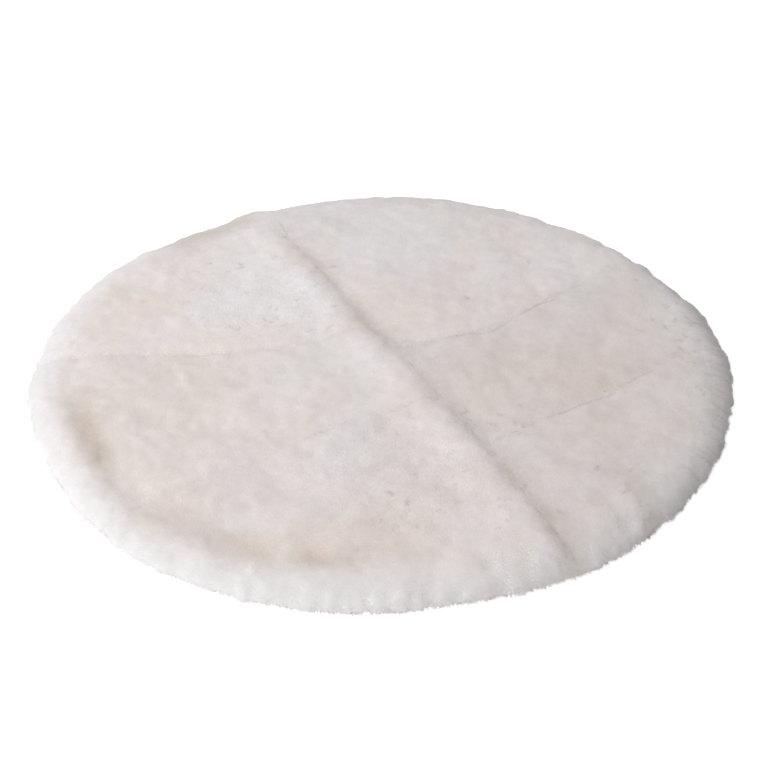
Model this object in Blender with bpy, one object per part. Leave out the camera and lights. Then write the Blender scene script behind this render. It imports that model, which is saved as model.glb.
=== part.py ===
"""A round sheepskin rug: six panels of wool-on sheepskin, sewn edge to edge into a disc.

Each panel is one solid, the tanned hide with its sheared wool standing on it, because that is
how a furrier cuts it: from the hide side, with the wool whole. The wool hangs over the hide's
cut edge all round the rug and ends there in locks.

Metres, +Z up. The origin is on the floor under the middle of the rug. The viewer stands at -Y.
"""

import bisect
import math
import random

import bmesh
import bpy
from mathutils import Vector, noise

# The hide, and the wool standing on it.
HIDE_RADIUS = 0.500
HIDE_THICKNESS = 0.002
PILE_TOP = 0.042
SEAM_GAP = 0.0008

# The rug's cross-section at the rim, from the flat pile down to the hide's cut edge.
FLAT_RADIUS = 0.452
RIM_RADIUS = 0.519
RIM_SECTION = (
    # radius, height
    (0.466, 0.0412),
    (0.478, 0.0396),
    (0.490, 0.0368),
    (0.500, 0.0332),
    (0.509, 0.0285),
    (0.5155, 0.0225),
    (RIM_RADIUS, 0.0160),
    (RIM_RADIUS, 0.0095),
    (0.515, 0.0050),
    (0.508, 0.0022),
    (HIDE_RADIUS, 0.0),
)

# The lumps, seams and creases shape the top, and fade out over this height above the hide.
TOP_FROM_HIDE = 0.030

# The mesh is made fine enough for the locks, then thinned as a whole.
FLAT_RINGS = 34
STEPS_AROUND = 960
TRIANGLES = 8800
FLOOR_SNAP = 0.0012
WELD = 0.00005

# The rim's locks: how far a tip stands out past its creases, and how far in the creases run.
LOCKS = 150
LOCK_SEED = 11
LOCK_REACH = 0.0065
LOCK_CREASE = 0.0030
CREASE_INNER_RADIUS = 0.468
CREASE_WANDER = 0.030  # radians round the rim
CREASE_WANDER_SIZE = 0.033
CREASE_NOISE_PLANE = 0.1
MEAN_LOCK = 0.5
LOCK_FULLNESS = 0.7
LOCK_WIDTHS = (0.45, 1.65)
LOCK_SIZES = (0.30, 1.30)

# The soft clumps all over the pile.
CLUMPS = (
    # width, height
    (0.120, 0.0044),
    (0.052, 0.0028),
    (0.027, 0.0011),
)
LAYERS_APART = 7.3  # in the noise that the clumps are read from

# The rim isn't a true circle: it is drawn out a little towards the back right and front left.
OUTLINE_WAVES = (
    # waves, share of the radius, bearing in degrees
    (2, 0.0100, 25),
    (3, 0.0020, 15),
    (4, 0.0055, -12),
    (5, 0.0055, 14),
    (6, 0.0042, 9),
    (10, 0.0030, 10),
)

# The seams seen from above. They run on past the rim, and the cross seams past the main seam.
MAIN_SEAM = (
    # x, y
    (-0.280, 0.660),
    (-0.198, 0.440),
    (-0.167, 0.360),
    (-0.105, 0.272),
    (-0.058, 0.171),
    (-0.028, 0.105),
    (0.031, 0.011),
    (0.098, -0.120),
    (0.161, -0.250),
    (0.213, -0.358),
    (0.250, -0.460),
    (0.300, -0.660),
)
LEFT_SEAM_1 = (
    (0.030, 0.100),
    (-0.039, 0.067),
    (-0.139, 0.024),
    (-0.213, 0.011),
    (-0.304, 0.008),
    (-0.640, -0.010),
)
LEFT_SEAM_2 = (
    (0.120, -0.085),
    (0.025, -0.129),
    (-0.046, -0.160),
    (-0.115, -0.205),
    (-0.170, -0.248),
    (-0.500, -0.440),
)
RIGHT_SEAM_1 = (
    (0.000, 0.022),
    (0.045, 0.040),
    (0.110, 0.059),
    (0.164, 0.084),
    (0.256, 0.159),
    (0.351, 0.235),
    (0.580, 0.410),
)
RIGHT_SEAM_2 = (
    (0.100, -0.225),
    (0.149, -0.203),
    (0.232, -0.146),
    (0.311, -0.096),
    (0.387, -0.036),
    (0.479, 0.029),
    (0.640, 0.140),
)

# Lines well outside the rug, which close the outermost panels' plans.
FAR_LEFT = ((-0.800, 0.800), (-0.800, -0.800))
FAR_RIGHT = ((0.800, 0.800), (0.800, -0.800))
BACK_OF_LEFT = ((0.300, 0.700), (-0.700, 0.700))
BACK_OF_RIGHT = ((-0.400, 0.700), (0.700, 0.700))
FRONT_OF_LEFT = ((0.450, -0.700), (-0.700, -0.700))
FRONT_OF_RIGHT = ((0.000, -0.700), (0.700, -0.700))

# How the pile lies at a seam. It parts there, and left of the main seam it stands in a ridge.
MAIN_DIP = 0.0080
MAIN_DIP_LEFT = 0.011
MAIN_DIP_RIGHT = 0.055
RIDGE = 0.0065
RIDGE_FROM_SEAM = 0.036
RIDGE_WIDTH = 0.030
FAINT_AT_BACK = 0.25  # what is left of the parting and the ridge at the back rim
FAINT_FROM, FAINT_TO = 0.270, 0.400
CROSS_DIP_LEFT = 0.0015
CROSS_DIP_RIGHT = 0.0045
CROSS_DIP_WIDTH = 0.010

# The parting inside the left and front rim, from which the wool falls outwards.
PARTING_RADIUS = 0.455
PARTING_WIDTH = 0.026
PARTING_DEPTH = 0.0055
PARTING_FROM, PARTING_TO = math.radians(172), math.radians(268)
PARTING_FADE = math.radians(18)

# Hollows where the pile lies flat or apart, and knobs where it is bunched.
SPOTS = (
    # x, y, width, height
    (-0.082, -0.434, 0.024, -0.0070),
    (-0.330, 0.345, 0.045, -0.0060),
    (-0.262, 0.385, 0.040, -0.0070),
    (-0.213, 0.438, 0.024, 0.0050),
    (0.133, -0.452, 0.014, -0.0070),
    (0.170, -0.440, 0.026, 0.0040),
    (0.212, -0.432, 0.024, 0.0045),
    (0.262, -0.436, 0.018, -0.0060),
    (0.322, -0.372, 0.020, -0.0060),
    (0.070, 0.040, 0.018, -0.0050),
)

# The panels of the two halves, from back to front.
PANELS = (
    # name, half, seam behind, seam in front, colour (linear)
    ("panel_left_back", "left", BACK_OF_LEFT, LEFT_SEAM_1, (0.685, 0.640, 0.615)),
    ("panel_left_middle", "left", LEFT_SEAM_1, LEFT_SEAM_2, (0.735, 0.655, 0.590)),
    ("panel_left_front", "left", LEFT_SEAM_2, FRONT_OF_LEFT, (0.720, 0.665, 0.625)),
    ("panel_right_back", "right", BACK_OF_RIGHT, RIGHT_SEAM_1, (0.690, 0.645, 0.625)),
    ("panel_right_middle", "right", RIGHT_SEAM_1, RIGHT_SEAM_2, (0.680, 0.615, 0.580)),
    ("panel_right_front", "right", RIGHT_SEAM_2, FRONT_OF_RIGHT, (0.690, 0.635, 0.600)),
)
WOOL_ROUGHNESS = 0.95
CUTTER_FROM, CUTTER_TO = -0.050, 0.150


def clear_scene():
    for thing in list(bpy.data.objects):
        bpy.data.objects.remove(thing, do_unlink=True)


def new_collection(name):
    made = bpy.data.collections.new(name)
    bpy.context.scene.collection.children.link(made)
    return made


def new_object(name, mesh, collection):
    made = bpy.data.objects.new(name, mesh)
    collection.objects.link(made)
    return made


def wool_material(name, colour):
    material = bpy.data.materials.new(name)
    material.use_nodes = True
    shader = material.node_tree.nodes["Principled BSDF"]
    shader.inputs["Base Color"].default_value = (*colour, 1.0)
    shader.inputs["Roughness"].default_value = WOOL_ROUGHNESS
    shader.inputs["Metallic"].default_value = 0.0
    material.diffuse_color = (*colour, 1.0)
    return material


def smooth(value):
    """0 below 0, 1 above 1, and an even slope between."""
    held = min(1.0, max(0.0, value))
    return held * held * (3.0 - 2.0 * held)


def hill(distance, width):
    return math.exp(-((distance / width) ** 2))


def signed_distance(x, y, line):
    """How far a point is from a line of points: positive to the left of its course."""
    best = None
    side = 1.0
    for (ax, ay), (bx, by) in zip(line, line[1:]):
        along_x, along_y = bx - ax, by - ay
        share = ((x - ax) * along_x + (y - ay) * along_y) / (along_x**2 + along_y**2)
        share = min(1.0, max(0.0, share))
        off_x, off_y = x - ax - share * along_x, y - ay - share * along_y
        squared = off_x**2 + off_y**2
        if best is None or squared < best:
            best = squared
            side = math.copysign(1.0, along_x * off_y - along_y * off_x)
    return side * math.sqrt(best)


def lock_table():
    """The locks round the rim, as their starts in turns and their sizes."""
    chance = random.Random(LOCK_SEED)
    widths = [chance.uniform(*LOCK_WIDTHS) for _ in range(LOCKS)]
    sizes = [chance.uniform(*LOCK_SIZES) for _ in range(LOCKS)]
    starts = []
    so_far = 0.0
    for width in widths:
        starts.append(so_far / sum(widths))
        so_far += width
    return starts, sizes


def lock_at(bearing, starts, sizes):
    """The lock at a bearing: 0 in the crease beside it and up to its size at its middle."""
    turn = (bearing / math.tau) % 1.0
    index = bisect.bisect_right(starts, turn) - 1
    end = starts[index + 1] if index + 1 < len(starts) else 1.0
    across = (turn - starts[index]) / (end - starts[index])
    rounded = math.sin(math.pi * across) ** LOCK_FULLNESS
    return rounded * sizes[index]


def outline(bearing):
    share = 1.0
    for waves, height, middle in OUTLINE_WAVES:
        share += height * math.cos(waves * (bearing - math.radians(middle)))
    return share


def clump_height(x, y):
    total = 0.0
    for layer, (width, height) in enumerate(CLUMPS):
        place = Vector((x / width, y / width, layer * LAYERS_APART))
        total += height * noise.noise(place)
    return total


def seam_height(x, y):
    """How far the pile's top stands over its level because of the seams."""
    from_main = signed_distance(x, y, MAIN_SEAM)
    on_right = from_main > 0.0
    width = MAIN_DIP_RIGHT if on_right else MAIN_DIP_LEFT
    total = -MAIN_DIP * hill(from_main, width)
    total += RIDGE * hill(from_main + RIDGE_FROM_SEAM, RIDGE_WIDTH)
    total *= 1.0 - (1.0 - FAINT_AT_BACK) * smooth((y - FAINT_FROM) / (FAINT_TO - FAINT_FROM))
    crossing = (RIGHT_SEAM_1, RIGHT_SEAM_2) if on_right else (LEFT_SEAM_1, LEFT_SEAM_2)
    depth = CROSS_DIP_RIGHT if on_right else CROSS_DIP_LEFT
    for line in crossing:
        total -= depth * hill(signed_distance(x, y, line), CROSS_DIP_WIDTH)
    return total


def parting_height(x, y):
    bearing = math.atan2(y, x) % math.tau
    depth = smooth((bearing - PARTING_FROM) / PARTING_FADE)
    depth *= smooth((PARTING_TO - bearing) / PARTING_FADE)
    from_parting = math.hypot(x, y) / outline(bearing) - PARTING_RADIUS
    return -PARTING_DEPTH * depth * hill(from_parting, PARTING_WIDTH)


def spot_height(x, y):
    total = 0.0
    for spot_x, spot_y, width, height in SPOTS:
        total += height * hill(math.hypot(x - spot_x, y - spot_y), width)
    return total


def turned_slab():
    """The rug's cross-section, turned round the middle into a closed disc."""
    slab = bmesh.new()
    flat = [(FLAT_RADIUS * i / FLAT_RINGS, PILE_TOP) for i in range(FLAT_RINGS + 1)]
    section = [*flat, *RIM_SECTION, (0.0, 0.0)]
    points = [slab.verts.new((radius, 0.0, height)) for radius, height in section]
    edges = [slab.edges.new(pair) for pair in zip(points, points[1:])]
    bmesh.ops.spin(
        slab,
        geom=points + edges,
        cent=(0.0, 0.0, 0.0),
        axis=(0.0, 0.0, 1.0),
        dvec=(0.0, 0.0, 0.0),
        angle=math.tau,
        steps=STEPS_AROUND,
        use_merge=True,
        use_duplicate=False,
    )
    bmesh.ops.remove_doubles(slab, verts=slab.verts, dist=WELD)
    bmesh.ops.recalc_face_normals(slab, faces=slab.faces)
    return slab


def laid_wool(slab):
    """Moves the turned disc's points to where the wool's surface is."""
    starts, sizes = lock_table()
    creases = []
    for point in slab.verts:
        x, y, z = point.co
        radius = math.hypot(x, y)
        bearing = math.atan2(y, x)
        crease = 0.0
        if z > HIDE_THICKNESS:
            place = Vector((x, y, CREASE_NOISE_PLANE)) / CREASE_WANDER_SIZE
            wander = CREASE_WANDER * noise.noise(place)
            lock = lock_at(bearing + wander, starts, sizes)
            rim_share = (radius - CREASE_INNER_RADIUS) / (RIM_RADIUS - CREASE_INNER_RADIUS)
            near_rim = smooth(rim_share)
            radius += LOCK_REACH * near_rim * (lock - MEAN_LOCK)
            crease = LOCK_CREASE * near_rim * (1.0 - min(1.0, lock))
        creases.append(crease)
        turned = radius * outline(bearing)
        point.co = (turned * math.cos(bearing), turned * math.sin(bearing), z)
    centred(slab)
    for point, crease in zip(slab.verts, creases):
        x, y, z = point.co
        height = clump_height(x, y) + seam_height(x, y) + parting_height(x, y)
        height += spot_height(x, y) - crease
        point.co.z += height * smooth((z - HIDE_THICKNESS) / TOP_FROM_HIDE)


def centred(slab):
    """Moves the slab so that the middle of its outline is over the origin."""
    for axis in (0, 1):
        places = [point.co[axis] for point in slab.verts]
        middle = (min(places) + max(places)) / 2.0
        for point in slab.verts:
            point.co[axis] -= middle


def whole_fleece(collection):
    slab = turned_slab()
    laid_wool(slab)
    bmesh.ops.triangulate(slab, faces=slab.faces)
    faces = len(slab.faces)
    mesh = bpy.data.meshes.new("fleece")
    slab.to_mesh(mesh)
    slab.free()
    fleece = new_object("fleece", mesh, collection)
    thin = fleece.modifiers.new("thin", "DECIMATE")
    thin.ratio = TRIANGLES / faces
    apply_modifiers(fleece)
    for point in fleece.data.vertices:
        if abs(point.co.z) < FLOOR_SNAP:
            point.co.z = 0.0
    return fleece


def apply_modifiers(thing):
    """Makes what an object's modifiers show its own mesh."""
    bpy.context.view_layer.update()
    graph = bpy.context.evaluated_depsgraph_get()
    baked = bpy.data.meshes.new_from_object(thing.evaluated_get(graph), depsgraph=graph)
    thing.modifiers.clear()
    thing.data = baked


def moved_line(line, distance):
    """A line of points moved sideways, to the left of its course."""
    moved = []
    for index, (x, y) in enumerate(line):
        before = line[max(0, index - 1)]
        after = line[min(len(line) - 1, index + 1)]
        course = Vector((after[0] - before[0], after[1] - before[1])).normalized()
        moved.append((x - course.y * distance, y + course.x * distance))
    return moved


def cutter(name, plan, collection):
    """An upright block with the given plan."""
    block = bmesh.new()
    corners = [block.verts.new((x, y, CUTTER_FROM)) for x, y in plan]
    floor = block.faces.new(corners)
    raised = bmesh.ops.extrude_face_region(block, geom=[floor])
    upper = [part for part in raised["geom"] if isinstance(part, bmesh.types.BMVert)]
    bmesh.ops.translate(block, verts=upper, vec=(0.0, 0.0, CUTTER_TO - CUTTER_FROM))
    bmesh.ops.recalc_face_normals(block, faces=block.faces)
    mesh = bpy.data.meshes.new(name)
    block.to_mesh(mesh)
    block.free()
    made = new_object(name, mesh, collection)
    made.hide_render = True
    made.display_type = "WIRE"
    return made


def keep_inside(thing, block):
    cut = thing.modifiers.new("keep inside", "BOOLEAN")
    cut.operation = "INTERSECT"
    cut.solver = "EXACT"
    cut.object = block
    cut.show_render = cut.show_viewport


def half_plan(half):
    """The plan of one half, up to the main seam."""
    if half == "left":
        return moved_line(MAIN_SEAM, -SEAM_GAP / 2.0) + list(reversed(FAR_LEFT))
    return moved_line(MAIN_SEAM, SEAM_GAP / 2.0) + list(reversed(FAR_RIGHT))


def band_plan(half, behind, front):
    """The plan of a panel's band across its half, a little inside the seams that bound it."""
    inwards = SEAM_GAP / 2.0 if half == "left" else -SEAM_GAP / 2.0
    return moved_line(behind, inwards) + list(reversed(moved_line(front, -inwards)))


def panel(name, half, behind, front, colour, fleece, rug, helpers):
    """One panel of the rug, cut out of the whole fleece along its seams."""
    made = new_object(name, fleece.data.copy(), rug)
    made.data.materials.append(wool_material(f"wool of {name}", colour))
    keep_inside(made, cutter(f"half of {name}", half_plan(half), helpers))
    keep_inside(made, cutter(f"band of {name}", band_plan(half, behind, front), helpers))


def main():
    clear_scene()
    rug = new_collection("round sheepskin rug")
    helpers = new_collection("cutters")
    fleece = whole_fleece(helpers)
    fleece.hide_render = True
    fleece.display_type = "WIRE"
    for name, half, behind, front, colour in PANELS:
        panel(name, half, behind, front, colour, fleece, rug, helpers)


main()
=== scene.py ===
"""The looks of the round sheepskin rug.

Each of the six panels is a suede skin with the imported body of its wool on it, and over that the
tufts, the rim's locks and the loose fibres that show. Overcast sewing joins the skins below.
Metres, +Z up, in the part's own frame.
"""

import math

import bmesh
import bpy
import numpy as np
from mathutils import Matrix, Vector, noise
from mathutils.bvhtree import BVHTree


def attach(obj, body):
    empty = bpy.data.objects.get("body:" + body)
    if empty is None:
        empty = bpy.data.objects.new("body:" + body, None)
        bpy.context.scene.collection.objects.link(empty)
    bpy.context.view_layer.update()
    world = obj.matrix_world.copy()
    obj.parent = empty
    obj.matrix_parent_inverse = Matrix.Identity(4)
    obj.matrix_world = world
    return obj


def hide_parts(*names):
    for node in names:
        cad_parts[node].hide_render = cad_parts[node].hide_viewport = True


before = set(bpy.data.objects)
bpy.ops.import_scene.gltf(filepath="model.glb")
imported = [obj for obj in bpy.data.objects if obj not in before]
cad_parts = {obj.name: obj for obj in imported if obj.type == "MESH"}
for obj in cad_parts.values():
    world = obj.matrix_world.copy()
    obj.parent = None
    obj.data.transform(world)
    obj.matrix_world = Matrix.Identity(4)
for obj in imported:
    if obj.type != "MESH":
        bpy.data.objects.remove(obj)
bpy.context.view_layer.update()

# The six panels come from different skins: how much paler than the rest each one's wool is. Partly
# painted light as well: the left panels paler, as lit, and the right middle and front darker, as
# in shade.
PALENESS = {
    "left_back": 0.066,
    "left_middle": 0.026,
    "left_front": 0.0,
    "right_back": 0.012,
    "right_middle": -0.055,
    "right_front": -0.070,
}
PANELS = tuple(PALENESS)
WELD = 0.00002  # points of a panel nearer than this are one

# The skin, from its suede face on the floor up to the roots of the wool.
SUEDE_FACE = 0.0004
ROOT_LEVEL = 0.0022
UNDERSIDE = 0.0001  # what lies below this is a panel's flat underside

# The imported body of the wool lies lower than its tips, and inside them at the rim.
BODY_GRAIN = 0.005
BODY_ROUNDING = 3  # rounds of smoothing for a panel's body
FLEECE_ROUNDING = 9  # and for the whole fleece, which the tufts read their slopes from
TIPS_ABOVE_BODY = 0.0022
CRISP_TIPS_ABOVE_BODY = 0.0034
TIPS_BEYOND_RIM = 0.0055
PRESSED_TOGETHER = 0.0018  # how far the wool of one panel reaches into its neighbour's
SINK_OVER = 0.030  # the height over which the body comes to lie lower
RIM_STARTS, RIM_ENDS = 0.440, 0.520  # from the rug's middle
LUMPS = (
    # width, height
    (0.046, 0.0010),
    (0.023, 0.0014),
    (0.012, 0.0014),
)
LAYERS_APART = 5.1  # in the noise that lumps and drifts are read from
UP = Vector((0.0, 0.0, 1.0))

# How far up (1) or down (-1) a face looks that lies flat on the skin, is bare, or is on top.
FLAT_BELOW = -0.995
BARE_BELOW = -0.55
ON_TOP_ABOVE = 0.5

# Tufts to a square metre, their least and greatest sizes, and how they stand.
TUFTS = 190000
TUFT_WIDTHS = (0.00255, 0.00425)
TUFT_LENGTHS = (0.00528, 0.00792)
TUFT_DROOP, RIM_DROOP = 0.12, 0.25  # of a tuft's length, and what the rim adds to it
TUFT_TONES = 0.6  # how far tufts differ in tone, in steps
STANDING = 0.85  # how far a tuft stands up, where its lie along the wool is 1
SPREAD = 0.55  # how far its lie strays from its neighbours'
FLATNESS = 0.45  # its thickness, as a share of its width
ROLL = 0.12  # how far it is turned about its own length
FLOW_WIDTHS = (0.085, 0.030)  # of the drifts in which neighbours lie alike
RIM_FALL = 1.6  # how far the rim's tufts lie outwards
ROOT_DEPTH = 0.18  # of a tuft's length, in the ground

# Locks to a square metre of the rim.
RIM_LOCKS = 99000
LOCK_WIDTHS = (0.00132, 0.00264)
LOCK_LENGTHS = (0.00364, 0.00676)
LOCK_DROOPS = (0.15, 0.55)
LOCK_BELLY = 1.35  # how much fuller it is half way along than a plain taper
LOCKS_FROM = 0.35  # how far across the rim they begin
LOCK_STANDING, LOCK_OUTWARD = 0.70, 0.45  # how far they stand up, and lie outwards
LOCK_SCATTER = 0.12  # how far they stray from that

# Loose fibres to a square metre.
LOOSE_FIBRES = 9000
FIBRES_ON_FLAT, FIBRES_AT_RIM = 0.35, 0.90  # the share on the flat, and what the rim adds
FIBRE_WIDTHS = (0.00049, 0.00091)
FIBRE_LENGTHS = (0.00665, 0.01235)
FIBRE_DROOPS = (0.0, 0.4)
FIBRE_OUTWARD, FIBRE_SCATTER = 0.4, 0.5

# Tufts are shaded much as the wool around them is.
SOFTNESS = 0.92  # how far a tuft takes its shading from that wool
OWN_LIFT = 0.15  # how far its own shading looks along it
UPRIGHT = 0.40  # how far the wool's shading looks straight up rather than square to the wool
LEAST_LIFT = 0.15  # and how far up it looks at the least
CREASES_HIDDEN = 0.65  # how much of the rim's creases it evens out
EVENED_FROM = 0.4  # in full from this far across the rim

# Clear space beside and above a face in its share of the map for finishes.
BESIDE_FACE, ABOVE_FACE = 0.12, 0.10

# Colours of the wool, and the painted shade that its hollows and its deep partings are multiplied
# by.
WOOL_COOL = (0.737, 0.707, 0.702, 1.0)
WOOL_WARM = (0.712, 0.634, 0.578, 1.0)
WOOL_RIM = (0.735, 0.710, 0.700, 1.0)
WOOL_HOLLOW_SHADE = (0.95, 0.915, 0.89, 1.0)
WOOL_PAINTED_SHADE = (0.800, 0.760, 0.710, 1.0)
ROOT_SHADE = 0.91  # painted shade: what the colour is multiplied by at a tuft's root, down among the tufts
BODY_ALONG = 0.45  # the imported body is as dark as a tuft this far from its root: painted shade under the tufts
TONE_STEP = 0.014  # how much paler one step of tone is
FLECK = 0.014  # how far small flecks differ
RIGHT_RIM_SHADE_TONES = 20.0  # how many steps darker the right rim is: painted shade, as it faces away from the lights
RIGHT_STARTS = 0.25  # how far right of the middle that sets in
WARMTH_LIMIT = 1.2  # beyond this the wool gets no warmer or cooler
NOISE_RANGE = (0.32, 0.68)  # what a noise mostly runs between
NOISE_ROUGHNESS = 0.55

# Colours of the skin's suede side and its thread.
SUEDE_DEEP = (0.60, 0.50, 0.39, 1.0)
SUEDE_PALE = (0.72, 0.64, 0.53, 1.0)
SUEDE_BRUSHED = (0.78, 0.71, 0.62, 1.0)
THREAD_DEEP = (0.70, 0.64, 0.54, 1.0)
THREAD_PALE = (0.84, 0.80, 0.72, 1.0)

# Where the tufts stand apart.
CRISP = (
    # x, y, reach in x, reach in y
    (-0.188, 0.142, 0.190, 0.140),
    (0.037, -0.290, 0.190, 0.160),
)
CRISP_FADE = 1.6  # how sharply such a place ends
CRISP_LENGTH = 0.45  # how much longer tufts grow there
CRISP_TONES = 2.0  # and how much more they differ in tone, in steps

# Where the wool is warmer in colour (over 0) or cooler (under 0) than the rest.
TINTS = (
    # x, y, reach in x, reach in y, warmth
    (-0.400, 0.130, 0.120, 0.110, 0.7),
    (-0.100, 0.380, 0.400, 0.180, -0.8),
    (-0.330, -0.190, 0.140, 0.140, 0.8),
    (-0.330, -0.360, 0.120, 0.070, 0.8),
    (-0.200, -0.430, 0.150, 0.060, 1.0),
    (0.000, -0.020, 0.080, 0.110, -0.5),
    (-0.300, -0.080, 0.180, 0.120, 0.4),
    (0.273, -0.040, 0.130, 0.100, 0.9),
    (-0.190, 0.160, 0.190, 0.150, -1.2),
    (0.150, 0.300, 0.280, 0.170, -0.5),
    (0.050, -0.230, 0.200, 0.140, -0.5),
    (-0.160, -0.200, 0.160, 0.100, 0.3),
    (0.300, -0.300, 0.160, 0.120, -0.2),
    (-0.060, -0.410, 0.180, 0.060, 0.8),
)
TINT_FADE = 1.3

# Fine lines where the wool parts: what shows of the seams on the right, and small creases. Their
# dark cores are painted shade.
PARTINGS = (
    # depth, then the places along it
    (1.0, ((0.105, 0.056), (0.164, 0.062), (0.208, 0.108), (0.245, 0.145), (0.268, 0.152))),
    (1.0, ((0.232, -0.150), (0.262, -0.135), (0.290, -0.120), (0.322, -0.104))),
    (0.9, ((0.322, -0.104), (0.350, -0.077), (0.378, -0.055), (0.399, -0.040))),
    (0.5, ((0.452, 0.010), (0.480, 0.022), (0.505, 0.030))),
    (0.8, ((0.388, 0.070), (0.398, 0.062))),
    (0.7, ((0.462, 0.018), (0.476, 0.012))),
    (0.6, ((0.190, 0.155), (0.200, 0.172))),
    (0.6, ((0.255, 0.340), (0.268, 0.362))),
    (0.6, ((0.065, -0.010), (0.082, 0.002))),
    (0.8, ((-0.100, 0.240), (-0.088, 0.212), (-0.092, 0.196))),
    (0.7, ((-0.004, 0.060), (0.020, 0.044), (0.046, 0.046))),
    (0.5, ((-0.040, 0.118), (-0.018, 0.098))),
    (0.8, ((-0.172, 0.388), (-0.160, 0.352), (-0.166, 0.338))),
    (0.6, ((0.096, -0.118), (0.116, -0.150), (0.132, -0.166))),
    (0.5, ((-0.020, 0.190), (0.000, 0.182))),
    (0.7, ((0.150, -0.440), (0.156, -0.462), (0.150, -0.484))),
    (0.7, ((0.325, -0.300), (0.340, -0.330), (0.345, -0.375))),
    (0.5, ((-0.168, -0.180), (-0.155, -0.205))),
    (0.5, ((-0.395, -0.205), (-0.388, -0.250))),
    (0.7, ((0.207, -0.439), (0.222, -0.444), (0.229, -0.462), (0.226, -0.488))),
    (0.6, ((0.198, -0.350), (0.214, -0.378), (0.234, -0.403), (0.248, -0.436))),
    (0.3, ((0.122, -0.341), (0.171, -0.339))),
    (0.3, ((0.122, -0.387), (0.156, -0.383))),
    (0.4, ((0.123, -0.449), (0.134, -0.486))),
)

# Where small creases are scattered, as the tufts stand apart there.
TICKED = (
    # x, y, reach in x, reach in y, how many
    (-0.188, 0.162, 0.130, 0.110, 40),
    (0.090, -0.260, 0.110, 0.150, 36),
    (0.260, 0.190, 0.160, 0.120, 10),
    (0.300, -0.330, 0.100, 0.090, 8),
    (0.462, 0.070, 0.030, 0.090, 24),
    (0.478, -0.080, 0.024, 0.100, 12),
)
TICK_LENGTHS = (0.0045, 0.0108)
TICK_DEPTHS = (0.5, 1.5)

# Fine creases that run out over the right rim, with painted shade in them.
RIM_STREAKS = 60
STREAKED_FROM, STREAKED_TO = math.radians(-32), math.radians(52)
STREAK_STARTS = (0.474, 0.508)
STREAK_END = 0.514
STREAK_SLANT = 0.008
STREAK_DEPTHS = (0.25, 0.9)

# How the wool parts at a crease that is 1 deep.
PARTING_LEAN = 0.9  # how far tufts lean away from it
PARTING_WIDTH = 0.0045  # how far from it they do
PARTING_CORE = 0.0024  # the half width of its core of painted shade
PARTING_SHADE_TONES = 10.0  # how many steps darker the core is, as painted shade
PARTING_SHORTENS = 0.6  # how much shorter tufts are in it

# Soft brownish painted shade: right of the main seam, inside the left and front rim, at the back,
# and between the bunches at the front right.
PAINTED_SHADES = (
    # depth, width, places along it
    (0.30, 0.018, ((-0.126, 0.273), (-0.067, 0.170), (-0.016, 0.063), (0.029, 0.005))),
    (0.34, 0.024, ((0.172, -0.265), (0.200, -0.321), (0.232, -0.387), (0.246, -0.454))),
    (0.45, 0.012, ((0.236, -0.430), (0.240, -0.460), (0.238, -0.490))),
    (0.30, 0.010, ((0.126, -0.449), (0.137, -0.486))),
    (1.00, 0.022, ((-0.428, -0.150), (-0.412, -0.186), (-0.388, -0.235))),
    (0.55, 0.022, ((-0.434, -0.091), (-0.428, -0.150))),
    (0.60, 0.022, ((-0.388, -0.235), (-0.372, -0.279))),
    (0.38, 0.026, ((-0.437, -0.115), (-0.387, -0.242), (-0.346, -0.321), (-0.311, -0.357))),
    (0.40, 0.028, ((-0.311, -0.357), (-0.270, -0.380), (-0.230, -0.398), (-0.169, -0.430))),
    (0.55, 0.024, ((-0.095, -0.444), (-0.040, -0.447))),
    (0.85, 0.030, ((-0.345, 0.345), (-0.290, 0.375), (-0.240, 0.405))),
    (0.42, 0.018, ((0.318, -0.275), (0.340, -0.310), (0.352, -0.350), (0.345, -0.400))),
    (0.20, 0.014, ((0.285, -0.330), (0.300, -0.370), (0.296, -0.420))),
    (0.26, 0.012, ((0.170, -0.400), (0.180, -0.440), (0.176, -0.480))),
)

# Hollows, as far below what is around them, get a warm painted shade.
MAP_SIDE = 1.2  # of the square map of heights
HOLLOW_CELL = 0.010
HOLLOW_SPREAD = 5  # rounds of evening out the map
HOLLOW_FULL = 0.008  # how far below the even map a full hollow lies

# Overcast sewing on the suede side, along the seams.
STITCH_PITCH = 0.0042
LEAST_PITCH = 0.8  # of the pitch, where two runs of sewing meet
STITCH_WIDTH = 0.0007
STITCH_REACH = 0.0026
STITCH_THICKNESS = 0.0005
STITCH_SLANT = 0.35
SEWN_RADIUS = 0.497

# The studio: a white room with softboxes on the left, over a floor that glows a little.
SOFTBOXES = (
    # name, place, size, power
    ("high softbox", Vector((-3.40, -1.75, 3.95)), 4.4, 196.0),
    ("low softbox", Vector((-3.60, -1.60, 0.60)), 1.6, 28.0),
)
SOFTBOX_WHITE = (0.97, 0.985, 1.03)
CEILING_ANGLE = math.radians(150)
CEILING_STRENGTH = 1.44
STUDIO_FILL = 0.13
STUDIO_SEEN = 0.87  # how much brighter than that the room itself looks
STUDIO_WHITE = (1.0, 0.985, 0.98, 1.0)
FLOOR_GLOW = 0.50
FLOOR_REACH = 90.0

# The viewer's place, and the photograph's angle.
EYE = Vector((0.0, -1.957, 1.409))
SIGHT = Vector((0.0003, 0.8094, -0.5872))
LENS = 75.2
SENSOR = 36.0


# ---------------------------------------------------------------- meshes


def placed(name, mesh, material):
    """An object at the origin with its place in its mesh, riding on the rug."""
    made = bpy.data.objects.new(name, mesh)
    bpy.context.scene.collection.objects.link(made)
    mesh.materials.append(material)
    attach(made, "root")
    return made


def settled(shape, name):
    """Ends a bmesh as a mesh."""
    mesh = bpy.data.meshes.new(name)
    shape.to_mesh(mesh)
    shape.free()
    return mesh


def merged_panel(panel):
    """A copy of a panel's solid, with its loose triangles joined."""
    shape = bmesh.new()
    shape.from_mesh(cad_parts[f"panel_{panel}"].data)
    bmesh.ops.remove_doubles(shape, verts=shape.verts, dist=WELD)
    return shape


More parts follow.
